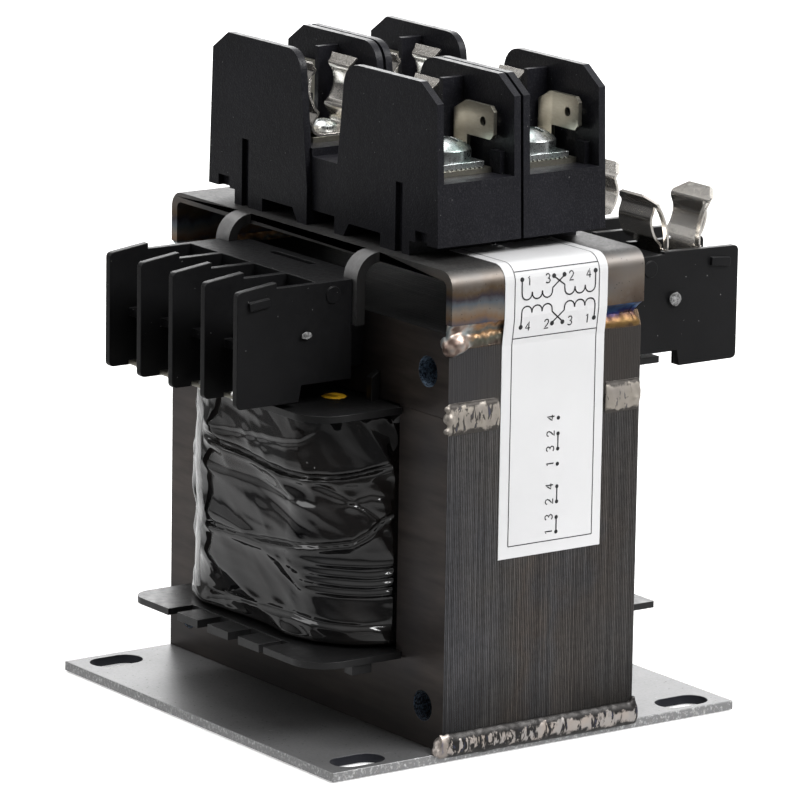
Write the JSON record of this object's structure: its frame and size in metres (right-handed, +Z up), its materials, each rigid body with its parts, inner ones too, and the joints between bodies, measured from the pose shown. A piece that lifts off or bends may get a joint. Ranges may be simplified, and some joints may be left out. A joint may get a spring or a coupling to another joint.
{
  "type": "control transformer",
  "caption": "Control transformer with a welded laminated core on a slotted base plate, a film-wrapped coil, side terminal blocks and a fuse holder on top.",
  "frame": {"origin": "centre of the underside of the base plate", "axes": "+Z up; X along the stack from the primary block at -X to the secondary block at +X; the labelled front faces -Y"},
  "size_m": [0.1073, 0.0944, 0.1259],
  "materials": {
    "plate_steel": "mill-scale grey, sheared edges",
    "lamination_steel": "dark brown-black annealed faces and finely lined stack edges",
    "weld_metal": "bare rippled bead with pinkish and blue heat tint",
    "bracket_steel": "dull grey with brown and straw heat tint",
    "bobbin_plastic": "satin black glass-filled nylon",
    "coil_film": "glossy wrinkled black film",
    "block_plastic": "matte black, finely grained",
    "holder_plastic": "matte black, finely grained",
    "clip_nickel": "bright nickel plate",
    "tinned_brass": "dull tin plate",
    "zinc": "bright zinc plate",
    "label_vinyl": "semi-gloss white with black print",
    "dot_paint": "yellow paint"
  },
  "bodies": {
    "root": {"base_plate": "plate_steel", "core_e_stack": "lamination_steel", "core_i_stack": "lamination_steel", "base_weld_front": "weld_metal", "base_weld_back": "weld_metal", "joint_weld_front": "weld_metal", "joint_weld_back": "weld_metal", "bracket_weld_front": "weld_metal", "bracket_weld_back": "weld_metal", "top_bracket": "bracket_steel", "bobbin": "bobbin_plastic", "winding": "coil_film", "primary_block": "block_plastic", "primary_terminals": "tinned_brass", "primary_screws": "zinc", "secondary_block": "block_plastic", "secondary_terminals": "tinned_brass", "secondary_screws": "zinc", "secondary_clip_front": "clip_nickel", "secondary_clip_back": "clip_nickel", "fuse_holder_left": "holder_plastic", "fuse_holder_right": "holder_plastic", "terminal_plate_left_front": "tinned_brass", "terminal_plate_left_back": "tinned_brass", "terminal_plate_right_front": "tinned_brass", "terminal_plate_right_back": "tinned_brass", "fuse_clip_left_front": "clip_nickel", "fuse_clip_left_back": "clip_nickel", "fuse_clip_right_front": "clip_nickel", "fuse_clip_right_back": "clip_nickel", "wire_washers": "zinc", "wire_screws": "zinc", "clip_screws": "zinc", "label": "label_vinyl", "paint_dot": "dot_paint"}
  },
  "joints": []
}
